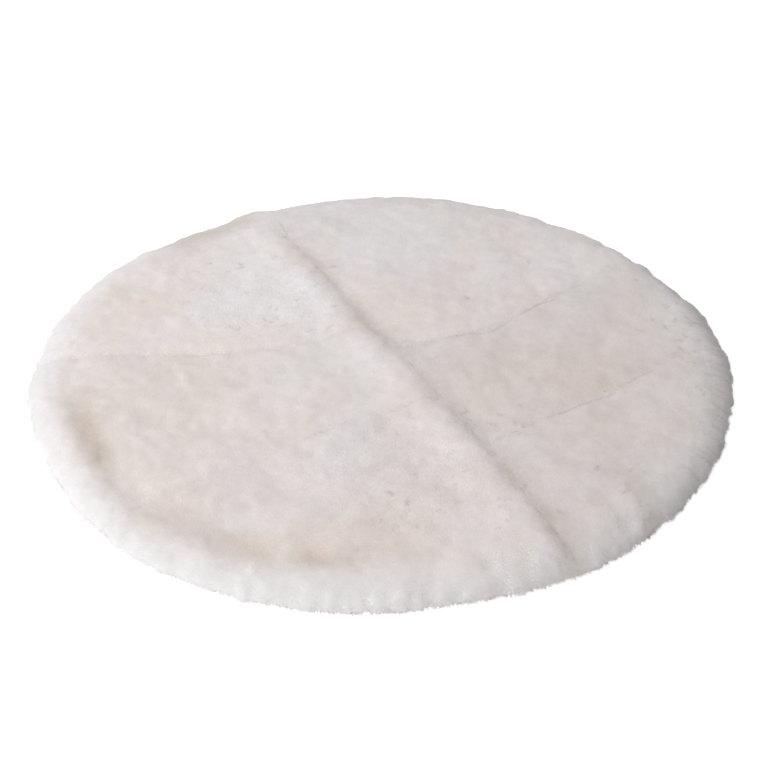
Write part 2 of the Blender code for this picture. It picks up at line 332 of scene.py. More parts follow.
def finished_mesh(mesh, modifiers):
    """The mesh after these modifiers, each a type with its settings."""
    holder = bpy.data.objects.new("holder", mesh)
    bpy.context.scene.collection.objects.link(holder)
    for kind, settings in modifiers:
        added = holder.modifiers.new(kind.lower(), kind)
        for setting, value in settings.items():
            setattr(added, setting, value)
    bpy.context.view_layer.update()
    graph = bpy.context.evaluated_depsgraph_get()
    made = bpy.data.meshes.new_from_object(holder.evaluated_get(graph), depsgraph=graph)
    bpy.data.objects.remove(holder)
    return made


def unit(vectors):
    return vectors / np.maximum(np.linalg.norm(vectors, axis=-1, keepdims=True), 1e-9)


def smooth(values):
    """0 below 0, 1 above 1, and an even slope between."""
    held = np.clip(values, 0.0, 1.0)
    return held * held * (3.0 - 2.0 * held)


def read(items, field, width, kind=np.float32):
    values = np.empty(len(items) * width, kind)
    items.foreach_get(field, values)
    return values.reshape(-1, width)


# ---------------------------------------------------------------- the wool's body


def lump_height(place):
    """How far the wool stands above or below its own surface here."""
    total = 0.0
    for layer, (width, height) in enumerate(LUMPS):
        x, y, z = place / width
        total += height * noise.noise(Vector((x, y, z + layer * LAYERS_APART)))
    return total


def packed_wool(shape, name, rounds):
    """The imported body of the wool: a solid evenly meshed, rounded, and sunk below the tips."""
    cut = bmesh.ops.bisect_plane(
        shape,
        geom=[*shape.verts, *shape.edges, *shape.faces],
        plane_co=(0.0, 0.0, ROOT_LEVEL),
        plane_no=(0.0, 0.0, 1.0),
        clear_inner=True,
    )
    open_edges = [edge for edge in cut["geom_cut"] if isinstance(edge, bmesh.types.BMEdge)]
    bmesh.ops.holes_fill(shape, edges=open_edges, sides=0)
    remesh = {"mode": "VOXEL", "voxel_size": BODY_GRAIN, "use_smooth_shade": True}
    rounding = {"factor": 0.5, "iterations": rounds}
    mesh = finished_mesh(settled(shape, name), [("REMESH", remesh), ("SMOOTH", rounding)])
    places = read(mesh.vertices, "co", 3)
    from_middle = np.hypot(places[:, 0], places[:, 1])
    near_top = smooth((places[:, 2] - ROOT_LEVEL) / SINK_OVER)
    lumps = np.array([lump_height(place) for place in places])
    pulled_in = TIPS_BEYOND_RIM * rim_share(places) / np.maximum(from_middle, RIM_STARTS)
    places[:, :2] *= (1.0 - pulled_in)[:, None]
    sunk = TIPS_ABOVE_BODY + (CRISP_TIPS_ABOVE_BODY - TIPS_ABOVE_BODY) * crispness(places)
    places[:, 2] -= near_top * (sunk - lumps)
    mesh.vertices.foreach_set("co", places.ravel())
    mesh.update()
    return mesh


def whole_fleece():
    """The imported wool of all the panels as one, which the tufts read their slopes from."""
    shape = bmesh.new()
    for panel in PANELS:
        shape.from_mesh(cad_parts[f"panel_{panel}"].data)
    bmesh.ops.remove_doubles(shape, verts=shape.verts, dist=WELD)
    return packed_wool(shape, "whole fleece", FLEECE_ROUNDING)


def panel_body(panel, fleece):
    """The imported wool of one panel, flat on its skin."""
    mesh = packed_wool(merged_panel(panel), f"wool {panel}", BODY_ROUNDING)
    shape = bmesh.new()
    shape.from_mesh(mesh)
    for point in shape.verts:
        sideways = Vector((point.normal.x, point.normal.y, 0.0))
        outward = Vector((point.co.x, point.co.y, 0.0)).normalized()
        if point.co.xy.length > RIM_STARTS:
            sideways -= sideways.dot(outward) * outward
        point.co += PRESSED_TOGETHER * sideways
    below = [face for face in shape.faces if face.normal.z < FLAT_BELOW]
    bmesh.ops.dissolve_faces(shape, faces=below, use_verts=True)
    shape.to_mesh(mesh)
    shape.free()
    places = read(mesh.vertices, "co", 3).astype(float)
    hollows = hollowness(places, fleece.upper)
    # Painted shade in the partings' cores, and on the right rim, through the tones.
    tones = panel_tone(panel, places) - PARTING_SHADE_TONES * parted(places)[1]
    for look, values in wool_looks(places, hollows, tones).items():
        on_points(mesh, look, values)
    on_points(mesh, "along", np.full(len(places), BODY_ALONG))
    return mesh


def search_tree(panel):
    shape = merged_panel(panel)
    tree = BVHTree.FromBMesh(shape)
    shape.free()
    return tree


class Fleece:
    """The whole fleece as arrays: its triangles, what lies on their corners, and their panels."""

    def __init__(self, mesh):
        mesh.calc_loop_triangles()
        self.places = read(mesh.vertices, "co", 3).astype(float)
        self.slopes = read(mesh.vertex_normals, "vector", 3).astype(float)
        self.flow = np.array([flow_vector(place) for place in self.places])
        self.upper = self.places[self.slopes[:, 2] > ON_TOP_ABOVE]
        self.hollows = hollowness(self.places, self.upper)[:, None]
        self.corners = read(mesh.loop_triangles, "vertices", 3, np.int32)
        a, b, c = (self.places[self.corners[:, i]] for i in range(3))
        crossed = np.cross(b - a, c - a)
        self.areas = np.linalg.norm(crossed, axis=1) / 2.0
        self.middles = (a + b + c) / 3.0
        self.grows = unit(crossed)[:, 2] > BARE_BELOW
        self.panels = self.nearest_panels()

    def nearest_panels(self):
        trees = [search_tree(panel) for panel in PANELS]
        nearest = np.full(len(self.middles), -1)
        for index in np.flatnonzero(self.grows):
            middle = Vector(self.middles[index])
            gaps = [tree.find_nearest(middle)[3] for tree in trees]
            above = [tree.ray_cast(middle, UP)[0] is not None for tree in trees]
            nearest[index] = above.index(True) if any(above) else gaps.index(min(gaps))
        return nearest

    def scattered(self, panel, weights, to_the_square_metre, chance):
        """Roots spread evenly over a panel: their places, slopes, lie and hollowness."""
        mine = self.panels == PANELS.index(panel)
        running = np.cumsum(self.areas * weights * mine)
        count = int(running[-1] * to_the_square_metre)
        picks = (np.arange(count) + chance.random(count)) / count * running[-1]
        chosen = np.minimum(np.searchsorted(running, picks), len(running) - 1)
        shares = chance.random((count, 2))
        over = shares.sum(axis=1) > 1.0
        shares[over] = 1.0 - shares[over]
        blend = np.column_stack([1.0 - shares.sum(axis=1), shares])
        corners = self.corners[chosen]

        def between(values):
            return np.einsum("nk,nkd->nd", blend, values[corners])

        roots = between(self.places)
        return roots, unit(between(self.slopes)), between(self.flow), between(self.hollows)[:, 0]


# ---------------------------------------------------------------- tufts


def as_pattern(shape):
    """The points and triangles of a small closed shape that is set down many times."""
    bmesh.ops.triangulate(shape, faces=shape.faces)
    bmesh.ops.recalc_face_normals(shape, faces=shape.faces)
    shape.verts.index_update()
    points = np.array([tuple(point.co) for point in shape.verts])
    faces = np.array([[corner.index for corner in face.verts] for face in shape.faces])
    shape.free()
    return points, faces


def tapered_pattern(rings):
    """A three-sided tuft from 0 at its root to 1 at its tip, fuller at its rings."""
    shape = bmesh.new()
    bmesh.ops.create_cone(
        shape, cap_ends=True, segments=3, radius1=0.5, radius2=0.0, depth=1.0 + ROOT_DEPTH
    )
    bmesh.ops.translate(shape, verts=shape.verts, vec=(0.0, 0.0, 0.5 - ROOT_DEPTH / 2.0))
    bmesh.ops.remove_doubles(shape, verts=shape.verts, dist=0.001)
    for level in rings:
        cut = bmesh.ops.bisect_plane(
            shape,
            geom=[*shape.verts, *shape.edges, *shape.faces],
            plane_co=(0.0, 0.0, level),
            plane_no=(0.0, 0.0, 1.0),
        )
        ring = [part for part in cut["geom_cut"] if isinstance(part, bmesh.types.BMVert)]
        bmesh.ops.scale(shape, verts=ring, vec=(LOCK_BELLY, LOCK_BELLY, 1.0))
    return as_pattern(shape)


def joined_mesh(name, places, faces):
    """One mesh of many alike shapes: places holds each shape's points, faces their triangles."""
    count, each = places.shape[:2]
    corners = (np.arange(count)[:, None] * each + faces.ravel()[None, :]).ravel()
    mesh = bpy.data.meshes.new(name)
    mesh.vertices.add(count * each)
    mesh.vertices.foreach_set("co", places.astype(np.float32).ravel())
    mesh.loops.add(len(corners))
    mesh.loops.foreach_set("vertex_index", corners.astype(np.int32))
    mesh.polygons.add(len(corners) // 3)
    mesh.polygons.foreach_set("loop_start", np.arange(0, len(corners), 3, dtype=np.int32))
    mesh.update(calc_edges=True)
    mesh.shade_smooth()
    return mesh


def lay_out_faces(mesh, count, faces_each):
    """A map with a cell for each shape, in which its faces stand side by side."""
    columns = math.ceil(math.sqrt(count))
    shape = np.repeat(np.arange(count), faces_each)
    face = np.tile(np.arange(faces_each), count)
    across = (face[:, None] + np.array([BESIDE_FACE, 1.0 - BESIDE_FACE, 0.5])) / faces_each
    up = np.broadcast_to(np.array([ABOVE_FACE, ABOVE_FACE, 1.0 - ABOVE_FACE]), across.shape)
    u = ((shape % columns)[:, None] + across) / columns
    v = ((shape // columns)[:, None] + up) / columns
    layout = mesh.uv_layers.new(name="OFBake")
    layout.uv.foreach_set("vector", np.stack([u, v], axis=-1).astype(np.float32).ravel())


def on_points(mesh, name, values):
    added = mesh.attributes.new(name, "FLOAT", "POINT")
    added.data.foreach_set("value", values.astype(np.float32).ravel())


def grown_mesh(name, pattern, roots, slopes, aims, widths, lengths, droops, looks, chance):
    """Sets the pattern on each root, aimed, drawn out to its length and drooping at its tip."""
    points, faces = pattern
    aims = unit(aims)
    across = np.cross(slopes, aims) + ROLL * chance.normal(size=aims.shape)
    across = unit(across - (across * aims).sum(axis=1, keepdims=True) * aims)
    over = np.cross(aims, across)
    side, front, along = points.T
    spread = (
        across[:, None, :] * (side * widths[:, None])[..., None]
        + over[:, None, :] * (front * FLATNESS * widths[:, None])[..., None]
    )
    reach = aims[:, None, :] * (along * lengths[:, None])[..., None]
    places = roots[:, None, :] + spread + reach
    places[..., 2] -= (droops * lengths)[:, None] * np.clip(along, 0.0, 1.0) ** 2
    places[..., 2] = np.maximum(places[..., 2], SUEDE_FACE)
    mesh = joined_mesh(name, places, faces)
    lay_out_faces(mesh, len(roots), len(faces))
    on_points(mesh, "along", np.tile(np.clip(along, 0.0, 1.0), len(roots)))
    for look, values in looks.items():
        on_points(mesh, look, np.repeat(values, len(points)))
    own = unit(spread + aims[:, None, :] * (OWN_LIFT * widths)[:, None, None])
    inside = (1.0 - rim_share(roots))[:, None]
    lifted = slopes * (1.0 - UPRIGHT * inside) + np.array(UP) * UPRIGHT * inside
    around = np.cross(np.array(UP), outwards(roots))
    sideways = (lifted * around).sum(axis=1, keepdims=True) * around
    lifted -= CREASES_HIDDEN * smooth(rim_share(roots) / EVENED_FROM)[:, None] * sideways
    lifted[:, 2] = np.maximum(lifted[:, 2], LEAST_LIFT)
    softened = unit(own * (1.0 - SOFTNESS) + lifted[:, None, :] * SOFTNESS)
    mesh.normals_split_custom_set_from_vertices(softened.reshape(-1, 3).tolist())
    return mesh


def flow_vector(place):
    """Which way the wool lies, in large and small drifts."""
    total = Vector((0.0, 0.0, 0.0))
    for layer, width in enumerate(FLOW_WIDTHS):
        point = Vector((place[0] / width, place[1] / width, layer * LAYERS_APART))
        total += noise.noise_vector(point)
    return total.x, total.y, 0.0


def rim_share(places):
    """0 on the flat of the rug, and 1 at its edge."""
    from_middle = np.hypot(places[:, 0], places[:, 1])
    return smooth((from_middle - RIM_STARTS) / (RIM_ENDS - RIM_STARTS))


def crispness(places):
    """1 where the tufts stand apart, and 0 where they blend into a soft surface."""
    total = np.zeros(len(places))
    for x, y, reach_x, reach_y in CRISP:
        away = np.hypot((places[:, 0] - x) / reach_x, (places[:, 1] - y) / reach_y)
        total = np.maximum(total, smooth(CRISP_FADE * (1.0 - away)))
    return total


def warmth(places):
    """How much warmer than the rest the wool is: under 0 where it is cooler."""
    total = np.zeros(len(places))
    for x, y, reach_x, reach_y, amount in TINTS:
        away = np.hypot((places[:, 0] - x) / reach_x, (places[:, 1] - y) / reach_y)
        total += amount * smooth(TINT_FADE * (1.0 - away))
    return total


def away_from_line(places, line):
    """The shortest way from a line of points to each place, seen from above."""
    best = np.full((len(places), 2), np.inf)
    for start, end in zip(np.array(line), np.array(line)[1:]):
        course = end - start
        share = np.clip((places[:, :2] - start) @ course / (course @ course), 0.0, 1.0)
        away = places[:, :2] - start - share[:, None] * course
        nearer = np.linalg.norm(away, axis=1) < np.linalg.norm(best, axis=1)
        best[nearer] = away[nearer]
    return best


def out_from_middle(far, turn):
    """A place so far from the rug's middle, turned from +X."""
    return far * math.cos(turn), far * math.sin(turn)


def small_ticks():
    """Short creases over the ticked places and the right rim, as rows like the partings'."""
    chance = np.random.default_rng(len(TICKED))
    rows = []
    for x, y, reach_x, reach_y, count in TICKED:
        for _ in range(count):
            start = (x + reach_x * chance.uniform(-1, 1), y + reach_y * chance.uniform(-1, 1))
            turn = chance.uniform(0.0, math.pi)
            along = out_from_middle(chance.uniform(*TICK_LENGTHS), turn)
            end = (start[0] + along[0], start[1] + along[1])
            rows.append((chance.uniform(*TICK_DEPTHS), (start, end)))
    for _ in range(RIM_STREAKS):
        turn = chance.uniform(STREAKED_FROM, STREAKED_TO)
        far = chance.uniform(*STREAK_STARTS)
        start = out_from_middle(far, turn + chance.uniform(-STREAK_SLANT, STREAK_SLANT))
        end = out_from_middle(STREAK_END, turn)
        rows.append((chance.uniform(*STREAK_DEPTHS), (start, end)))
    return rows


CREASES = (*PARTINGS, *small_ticks())


def parted(places):
    """How the wool leans away from the fine partings, and how deep in one each place is."""
    lean = np.zeros((len(places), 3))
    depth = np.zeros(len(places))
    for strength, line in CREASES:
        away = away_from_line(places, line)
        distance = np.linalg.norm(away, axis=1)
        pushed = strength * PARTING_LEAN * np.exp(-((distance / PARTING_WIDTH) ** 2))
        lean[:, :2] += pushed[:, None] * unit(away)
        depth = np.maximum(depth, strength * np.exp(-((distance / PARTING_CORE) ** 2)))
    return lean, depth


def shading(places):
    """How deep in the painted soft shade each place is."""
    deepest = np.zeros(len(places))
    for depth, width, line in PAINTED_SHADES:
        distance = np.linalg.norm(away_from_line(places, line), axis=1)
        deepest = np.maximum(deepest, depth * np.exp(-((distance / width) ** 2)))
    return deepest


def hollowness(places, heights_from):
    """0 on open wool, and 1 where the wool lies well below what is around it, for its painted
    shade.
    """
    cells = math.ceil(MAP_SIDE / HOLLOW_CELL)

    def cell_of(points):
        cell = ((points[:, :2] + MAP_SIDE / 2.0) / HOLLOW_CELL).astype(int)
        return tuple(np.clip(cell, 0, cells - 1).T)

    def evened(values):
        near = np.zeros((cells, cells))
        np.add.at(near, cell_of(heights_from), values)
        for _ in range(HOLLOW_SPREAD):
            for axis in (0, 1):
                near = (np.roll(near, 1, axis) + near + np.roll(near, -1, axis)) / 3.0
        return near

    level = evened(heights_from[:, 2]) / np.maximum(evened(1.0), 1e-9)
    below = level[cell_of(places)] - places[:, 2]
    return smooth(below / HOLLOW_FULL) * (1.0 - rim_share(places))


def outwards(places):
    return unit(places * np.array([1.0, 1.0, 0.0]))


def panel_tone(panel, places):
    """How much paler the wool is, in steps: each skin has its own, partly painted light, and the
    right rim is darker with painted shade.
    """
    # Painted shade on the right rim, which faces away from the lights.
    at_right = smooth(places[:, 0] / RIGHT_STARTS - 1.0) * rim_share(places) ** 4
    return PALENESS[panel] / TONE_STEP - RIGHT_RIM_SHADE_TONES * at_right


def wool_looks(roots, hollows, tones):
    return {
        "tone": tones,
        "hollow": hollows,
        "shade": shading(roots),
        "warmth": warmth(roots),
        "rim": rim_share(roots),
    }


def top_tufts(fleece, panel, chance):
    """The tufts all over a panel."""
    roots, slopes, flow, hollows = fleece.scattered(panel, fleece.grows, TUFTS, chance)
    rim = rim_share(roots)
    crisp = crispness(roots)
    parting_lean, parting_depth = parted(roots)
    lie = unit(flow) + SPREAD * (1.0 + crisp)[:, None] * chance.normal(size=roots.shape)
    lie += RIM_FALL * rim[:, None] * outwards(roots) + parting_lean
    lie -= (lie * slopes).sum(axis=1, keepdims=True) * slopes
    aims = STANDING * slopes + unit(lie)
    count = len(roots)
    lengths = chance.uniform(*TUFT_LENGTHS, count)
    lengths *= 1.0 + CRISP_LENGTH * crisp * chance.uniform(0.0, 1.0, count)
    lengths *= 1.0 - PARTING_SHORTENS * np.minimum(parting_depth, 1.0)
    tones = chance.normal(size=count) * (TUFT_TONES + CRISP_TONES * crisp)
    # Painted shade in the partings' cores, and on the right rim, through the tones.
    tones += panel_tone(panel, roots) - PARTING_SHADE_TONES * parting_depth
    return grown_mesh(
        f"tufts {panel}",
        tapered_pattern(()),
        roots,
        slopes,
        aims,
        chance.uniform(*TUFT_WIDTHS, count),
        lengths,
        TUFT_DROOP + RIM_DROOP * rim,
        wool_looks(roots, hollows, tones),
        chance,
    )


def rim_locks(fleece, panel, chance):
    """The longer wisps that hang out over the skin's cut edge."""
    at_rim = np.maximum(0.0, rim_share(fleece.middles) - LOCKS_FROM)
    roots, slopes, _, hollows = fleece.scattered(panel, fleece.grows * at_rim, RIM_LOCKS, chance)
    aims = LOCK_STANDING * slopes + LOCK_OUTWARD * outwards(roots)
    aims += LOCK_SCATTER * chance.normal(size=roots.shape)
    count = len(roots)
    return grown_mesh(
        f"rim locks {panel}",
        tapered_pattern((0.5,)),
        roots,
        slopes,
        aims,
        chance.uniform(*LOCK_WIDTHS, count),
        chance.uniform(*LOCK_LENGTHS, count),
        chance.uniform(*LOCK_DROOPS, count),
        wool_looks(roots, hollows, chance.normal(size=count) + panel_tone(panel, roots)),
        chance,
    )


def loose_fibres(fleece, panel, chance):
    """Single fibres that stray from the pile."""
    amount = fleece.grows * (FIBRES_ON_FLAT + FIBRES_AT_RIM * rim_share(fleece.middles))
    roots, slopes, _, hollows = fleece.scattered(panel, amount, LOOSE_FIBRES, chance)
    aims = slopes + FIBRE_OUTWARD * rim_share(roots)[:, None] * outwards(roots)
    aims += FIBRE_SCATTER * chance.normal(size=roots.shape)
    count = len(roots)
    return grown_mesh(
        f"fibres {panel}",
        tapered_pattern(()),
        roots,
        slopes,
        aims,
        chance.uniform(*FIBRE_WIDTHS, count),
        chance.uniform(*FIBRE_LENGTHS, count),
        chance.uniform(*FIBRE_DROOPS, count),
        wool_looks(roots, hollows, chance.normal(size=count) + panel_tone(panel, roots)),
        chance,
    )


# ---------------------------------------------------------------- the skin and its sewing


def skin_mesh(panel):
    """The suede skin under a panel, flat on the floor, with its flat area."""
    shape = merged_panel(panel)
    upper = [face for face in shape.faces if face.calc_center_median().z > UNDERSIDE]
    bmesh.ops.delete(shape, geom=upper, context="FACES")
    area = sum(face.calc_area() for face in shape.faces)
    bmesh.ops.translate(shape, verts=shape.verts, vec=(0.0, 0.0, SUEDE_FACE))
    thickness = (0.0, 0.0, ROOT_LEVEL - SUEDE_FACE)
    raised = bmesh.ops.extrude_face_region(shape, geom=shape.faces)
    upper_points = [part for part in raised["geom"] if isinstance(part, bmesh.types.BMVert)]
    bmesh.ops.translate(shape, verts=upper_points, vec=thickness)
    bmesh.ops.recalc_face_normals(shape, faces=shape.faces)
    return settled(shape, f"skin {panel}"), area


def cut_edges(panel):
    """The edges of a panel's skin along its seams, each as two points."""
    shape = merged_panel(panel)
    edges = []
    for edge in shape.edges:
        ends = [Vector((point.co.x, point.co.y, 0.0)) for point in edge.verts]
        flat = max(point.co.z for point in edge.verts) < UNDERSIDE
        walls = [face for face in edge.link_faces if face.calc_center_median().z > UNDERSIDE]
        if flat and len(walls) == 1 and min(end.length for end in ends) < SEWN_RADIUS:
            edges.append(ends)
    shape.free()
    return edges


def seam_places():
    """Places a stitch apart along the seams, with the way across the seam at each."""
    places, across = [], []
    for panel in PANELS:
        for start, end in cut_edges(panel):
            course = end - start
            count = max(1, round(course.length / STITCH_PITCH))
            for step in range(count):
                place = start + course * (step + 0.5) / count
                if all((place - other).length > LEAST_PITCH * STITCH_PITCH for other in places):
                    places.append(place)
                    across.append(course.cross(UP).normalized())
    return np.array(places), np.array(across)


def stitches():
    """The overcast sewing that joins the skins, on their suede side."""
    shape = bmesh.new()
    bmesh.ops.create_cone(shape, cap_ends=True, segments=6, radius1=0.5, radius2=0.5, depth=1.0)
    points, faces = as_pattern(shape)
    places, across = seam_places()
    up = np.array(UP)
    ways = unit(across + STITCH_SLANT * np.cross(across, up))
    beside = np.cross(up, ways)
    wide, high, long = points.T
    laid = places[:, None, :] + (STITCH_THICKNESS * (high + 0.5) + UNDERSIDE)[None, :, None] * up
    laid = laid + ways[:, None, :] * (2.0 * STITCH_REACH * long)[None, :, None]
    laid = laid + beside[:, None, :] * (STITCH_WIDTH * wide)[None, :, None]
    return joined_mesh("stitches", laid, faces)


# ---------------------------------------------------------------- materials


def node(tree, kind, label, settings=None, **values):
    """A shader node with its settings, and its sockets set or fed by name."""
    made = tree.nodes.new(kind)
    made.label = label
    for setting, value in (settings or {}).items():
        setattr(made, setting, value)
    for socket, value in values.items():
        target = made.inputs[socket.replace("_", " ")]
        if isinstance(value, bpy.types.NodeSocket):
            tree.links.new(value, target)
        else:
            target.default_value = value
    return made


def maths(tree, operation, first, second=0.0):
    made = tree.nodes.new("ShaderNodeMath")
    made.operation = operation
    for target, value in zip(made.inputs, (first, second)):
        if isinstance(value, bpy.types.NodeSocket):
            tree.links.new(value, target)
        else:
            target.default_value = value
    return made.outputs[0]


def tinted(tree, factor, under, over, blending="MIX"):
    """Mixes two colours by a factor, each a socket or a value."""
    made = tree.nodes.new("ShaderNodeMix")
    made.data_type = "RGBA"
    made.blend_type = blending
    for name, value in (("Factor_Float", factor), ("A_Color", under), ("B_Color", over)):
        target = next(socket for socket in made.inputs if socket.identifier == name)
        if isinstance(value, bpy.types.NodeSocket):
            tree.links.new(value, target)
        else:
            target.default_value = value
    return next(socket for socket in made.outputs if socket.identifier == "Result_Color")


def effect(name, inputs, output, kind):
    """A shader node group with named inputs and one output, with its tree and its two ends."""
    group = bpy.data.node_groups.new(name, "ShaderNodeTree")
    for socket, socket_kind, value in inputs:
        added = group.interface.new_socket(socket, in_out="INPUT", socket_type=socket_kind)
        if value is not None:
            added.default_value = value
    group.interface.new_socket(output, in_out="OUTPUT", socket_type=kind)
    return group, group.nodes.new("NodeGroupInput").outputs, group.nodes.new("NodeGroupOutput")


def clouds_effect():
    """Soft clouds of a width, which run from one value to another."""
    group, given, end = effect(
        "soft clouds",
        (
            ("Place", "NodeSocketVector", None),
            ("Width", "NodeSocketFloat", 0.05),
            ("Detail", "NodeSocketFloat", 2.0),
            ("Low", "NodeSocketFloat", 0.0),
            ("High", "NodeSocketFloat", 1.0),
        ),
        "Amount",
        "NodeSocketFloat",
    )
    made = node(
        group,
        "ShaderNodeTexNoise",
        "clouds",
        Vector=given["Place"],
        Scale=maths(group, "DIVIDE", 1.0, given["Width"]),
        Detail=given["Detail"],
        Roughness=NOISE_ROUGHNESS,
    )
    amount = spread_between(
        group, made.outputs["Fac"], *NOISE_RANGE, given["Low"], given["High"]
    )
    group.links.new(amount, end.inputs["Amount"])
    return group


def nap_effect():
    """The relief of a short nap, as a normal."""
    group, given, end = effect(
        "fine nap",
        (
            ("Place", "NodeSocketVector", None),
            ("Width", "NodeSocketFloat", 0.0015),
            ("Strength", "NodeSocketFloat", 0.3),
            ("Height", "NodeSocketFloat", 0.0005),
        ),
        "Normal",
        "NodeSocketVector",
    )
    fine = node(
        group,
        "ShaderNodeTexNoise",
        "nap",
        Vector=given["Place"],
        Scale=maths(group, "DIVIDE", 1.0, given["Width"]),
        Detail=3.0,
        Roughness=NOISE_ROUGHNESS,
    )
    relief = node(
        group,
        "ShaderNodeBump",
        "relief",
        Strength=given["Strength"],
        Distance=given["Height"],
        Height=fine.outputs["Fac"],
    )
    group.links.new(relief.outputs[0], end.inputs["Normal"])
    return group


def wool_effect(clouds):
    """Ivory wool: cool and warm drifts, painted warm shade in its hollows and along soft shaded
    lines, painted shade at its tufts' roots, whiter at the rim.
    """
    group, given, end = effect(
        "ivory wool",
        (
            ("Place", "NodeSocketVector", None),
            ("Tone Step", "NodeSocketFloat", TONE_STEP),
            ("Root Shade", "NodeSocketFloat", ROOT_SHADE),
            ("Fleck", "NodeSocketFloat", 0.01),
        ),
        "Colour",
        "NodeSocketColor",
    )
    place = given["Place"]
    drifts = placed_effect(group, clouds, Place=place, Width=0.11, Low=-0.5, High=0.5)
    warm = maths(group, "ADD", drifts, attribute(group, "warmth"))
    warm = spread_between(group, warm, -WARMTH_LIMIT, WARMTH_LIMIT, 0.0, 1.0, "LINEAR")
    colour = tinted(group, warm, WOOL_COOL, WOOL_WARM)
    colour = tinted(group, attribute(group, "rim"), colour, WOOL_RIM)
    # Painted shade: the hollows darken and warm the wool.
    colour = tinted(group, attribute(group, "hollow"), colour, WOOL_HOLLOW_SHADE, "MULTIPLY")
    # Painted shade along the soft brownish shaded lines.
    colour = tinted(group, attribute(group, "shade"), colour, WOOL_PAINTED_SHADE, "MULTIPLY")
    patches = placed_effect(group, clouds, Place=place, Width=0.03, Low=0.978, High=1.022)
    low = maths(group, "SUBTRACT", 1.0, given["Fleck"])
    high = maths(group, "ADD", 1.0, given["Fleck"])
    flecks = placed_effect(group, clouds, Place=place, Width=0.009, Low=low, High=high)
    # Painted shade at each tuft's root, down among the tufts.
    root = spread_between(group, attribute(group, "along"), 0.0, 0.8, given["Root Shade"], 1.0)
    stepped = maths(group, "MULTIPLY", attribute(group, "tone"), given["Tone Step"])
    shade = maths(group, "MULTIPLY", patches, maths(group, "ADD", 1.0, stepped))
    shade = maths(group, "MULTIPLY", maths(group, "MULTIPLY", shade, flecks), root)
    grey = node(group, "ShaderNodeCombineColor", "shade", Red=shade, Green=shade, Blue=shade)
    colour = tinted(group, 1.0, colour, grey.outputs[0], "MULTIPLY")
    group.links.new(colour, end.inputs["Colour"])
    return group


def placed_effect(tree, group, **values):
    """Places an effect in a tree with its own values, and gives what comes out of it."""
    made = node(tree, "ShaderNodeGroup", group.name, {"node_tree": group}, **values)
    return made.outputs[0]


def new_material(name):
    material = bpy.data.materials.new(name)
    material.use_nodes = True
    return material, material.node_tree, material.node_tree.nodes["Principled BSDF"]


def attribute(tree, name):
    return node(tree, "ShaderNodeAttribute", name, {"attribute_name": name}).outputs["Fac"]


def spread_between(tree, value, start, end, low, high, steps="SMOOTHSTEP"):
    """Runs from low to high as the value goes from start to end."""
    made = node(
        tree,
        "ShaderNodeMapRange",
        "range",
        {"interpolation_type": steps},
        Value=value,
        From_Min=start,
        From_Max=end,
        To_Min=low,
        To_Max=high,
    )
    return made.outputs[0]


def wool_material(name, wool, nap=None):
    """Soft ivory wool, with the relief of its nap where that is given."""
    material, tree, shader = new_material(name)
    place = node(tree, "ShaderNodeTexCoord", "place").outputs["Object"]
    colour = placed_effect(tree, wool, Place=place, Tone_Step=TONE_STEP, Fleck=FLECK)
    tree.links.new(colour, shader.inputs["Base Color"])
    if nap:
        relief = placed_effect(tree, nap, Place=place, Width=0.0016, Strength=0.2, Height=0.0005)
        tree.links.new(relief, shader.inputs["Normal"])
    shader.inputs["Roughness"].default_value = 0.92
    shader.inputs["Specular IOR Level"].default_value = 0.0
    shader.inputs["Sheen Weight"].default_value = 0.30
    shader.inputs["Sheen Roughness"].default_value = 0.45
    shader.inputs["Sheen Tint"].default_value = (1.0, 0.97, 0.94, 1.0)
    return material


def suede_material(clouds, nap):
    """The tanned side of the skin: pale, matt and napped."""
    material, tree, shader = new_material("suede side of the skin")
    place = node(tree, "ShaderNodeTexCoord", "place").outputs["Object"]
    amount = placed_effect(tree, clouds, Place=place, Width=0.06, Detail=4.0, Low=0.0, High=1.0)
    colour = tinted(tree, amount, SUEDE_DEEP, SUEDE_PALE)
    brushed = placed_effect(tree, clouds, Place=place, Width=0.012, Low=0.0, High=0.35)
    colour = tinted(tree, brushed, colour, SUEDE_BRUSHED)
    tree.links.new(colour, shader.inputs["Base Color"])
    relief = placed_effect(tree, nap, Place=place, Width=0.0015, Strength=0.4, Height=0.0004)
    tree.links.new(relief, shader.inputs["Normal"])
    shader.inputs["Roughness"].default_value = 0.85
    shader.inputs["Specular IOR Level"].default_value = 0.25
    shader.inputs["Sheen Weight"].default_value = 0.2
    return material


def thread_material(clouds, nap):
    """Linen thread, uneven in colour, with the relief of its fibres."""
    material, tree, shader = new_material("linen thread")
    place = node(tree, "ShaderNodeTexCoord", "place").outputs["Object"]
    amount = placed_effect(tree, clouds, Place=place, Width=0.004, Low=0.0, High=1.0)
    tree.links.new(tinted(tree, amount, THREAD_DEEP, THREAD_PALE), shader.inputs["Base Color"])
    relief = placed_effect(tree, nap, Place=place, Width=0.0004, Strength=0.5, Height=0.0001)
    tree.links.new(relief, shader.inputs["Normal"])
    shader.inputs["Roughness"].default_value = 0.7
    shader.inputs["Specular IOR Level"].default_value = 0.3
    return material


def floor_material():
    material, _, shader = new_material("pale floor")
    shader.inputs["Base Color"].default_value = (0.85, 0.85, 0.85, 1.0)
    shader.inputs["Roughness"].default_value = 0.9
    shader.inputs["Specular IOR Level"].default_value = 0.0
    shader.inputs["Emission Color"].default_value = (1.0, 1.0, 1.0, 1.0)
    shader.inputs["Emission Strength"].default_value = FLOOR_GLOW
    return material


# ---------------------------------------------------------------- the studio


def pale_floor():
    shape = bmesh.new()
    bmesh.ops.create_grid(shape, x_segments=1, y_segments=1, size=FLOOR_REACH)
    made = bpy.data.objects.new("pale_floor", settled(shape, "pale floor"))
    bpy.context.scene.collection.objects.link(made)
    made.data.materials.append(floor_material())
    return made


